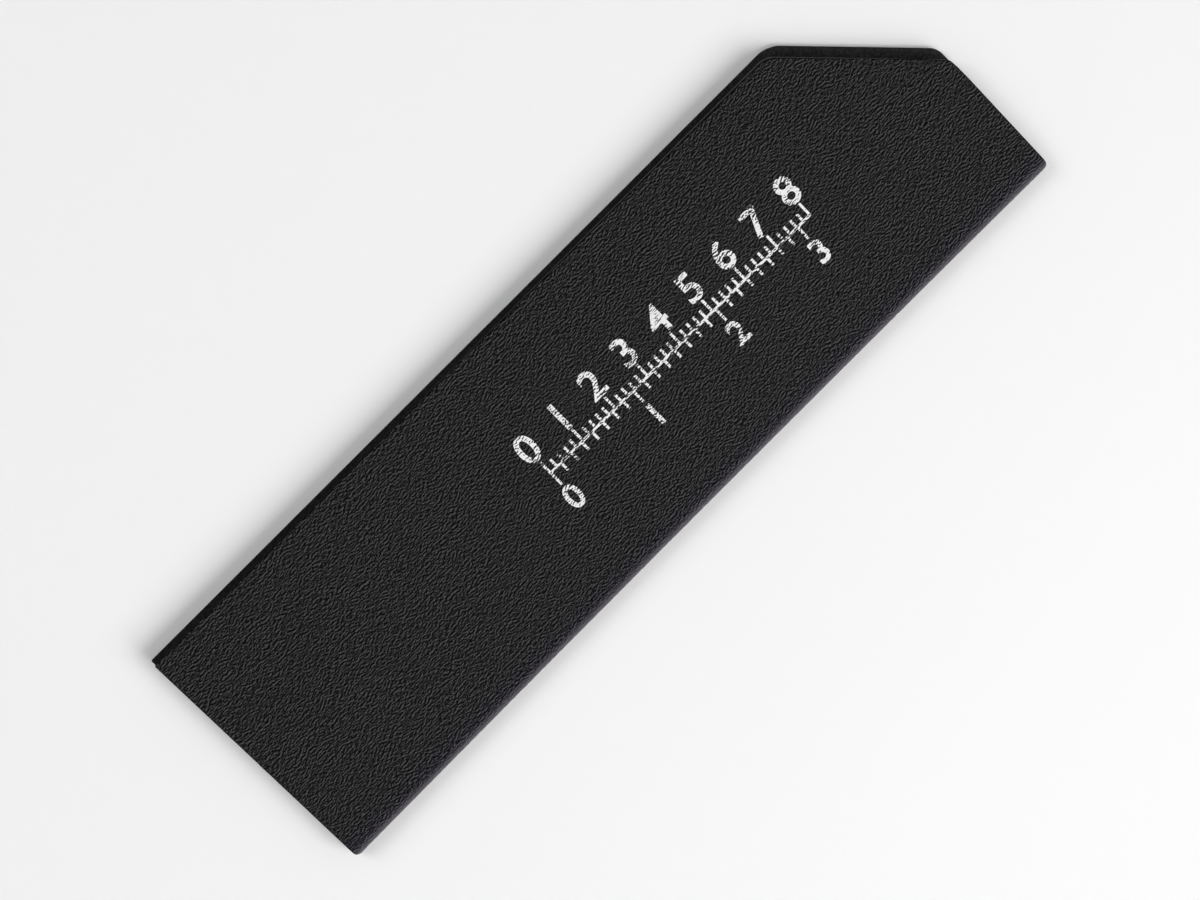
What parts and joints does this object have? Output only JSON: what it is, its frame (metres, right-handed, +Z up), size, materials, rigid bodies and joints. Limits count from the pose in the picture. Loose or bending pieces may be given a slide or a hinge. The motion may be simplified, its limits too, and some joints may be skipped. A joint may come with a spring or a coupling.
{
  "type": "knife blade guard",
  "caption": "Flat folded plastic sleeve lined with felt that guards a kitchen knife's blade; open along one long side and at both ends, with an angled notch at the tip.",
  "frame": {"origin": "on the surface that the guard lies on, below the middle of its outer box", "axes": "+X from the mouth to the notched tip, +Y from the fold to the open long side, +Z up through the front face"},
  "size_m": [0.216, 0.0624, 0.0052],
  "materials": {
    "outer_sheet": "black, embossed with a fine haircell grain",
    "felt_lining": "black needled felt",
    "adhesive_film": "dull pressure-sensitive adhesive"
  },
  "bodies": {
    "back_flap": {"back_panel": "outer_sheet", "fold_back_half": "outer_sheet", "back_adhesive": "adhesive_film", "back_felt": "felt_lining", "fold_felt_back": "felt_lining"},
    "front_flap": {"front_panel": "outer_sheet", "fold_front_half": "outer_sheet", "front_adhesive": "adhesive_film", "front_felt": "felt_lining", "fold_felt_front": "felt_lining"}
  },
  "joints": [
    {"name": "fold_hinge", "type": "hinge", "parent": "back_flap", "child": "front_flap", "pos_m": [0, -0.03125, 0.0026], "axis": [1, 0, 0], "range_deg": [0, 20], "stiffness_Nm_per_rad": 2}
  ]
}
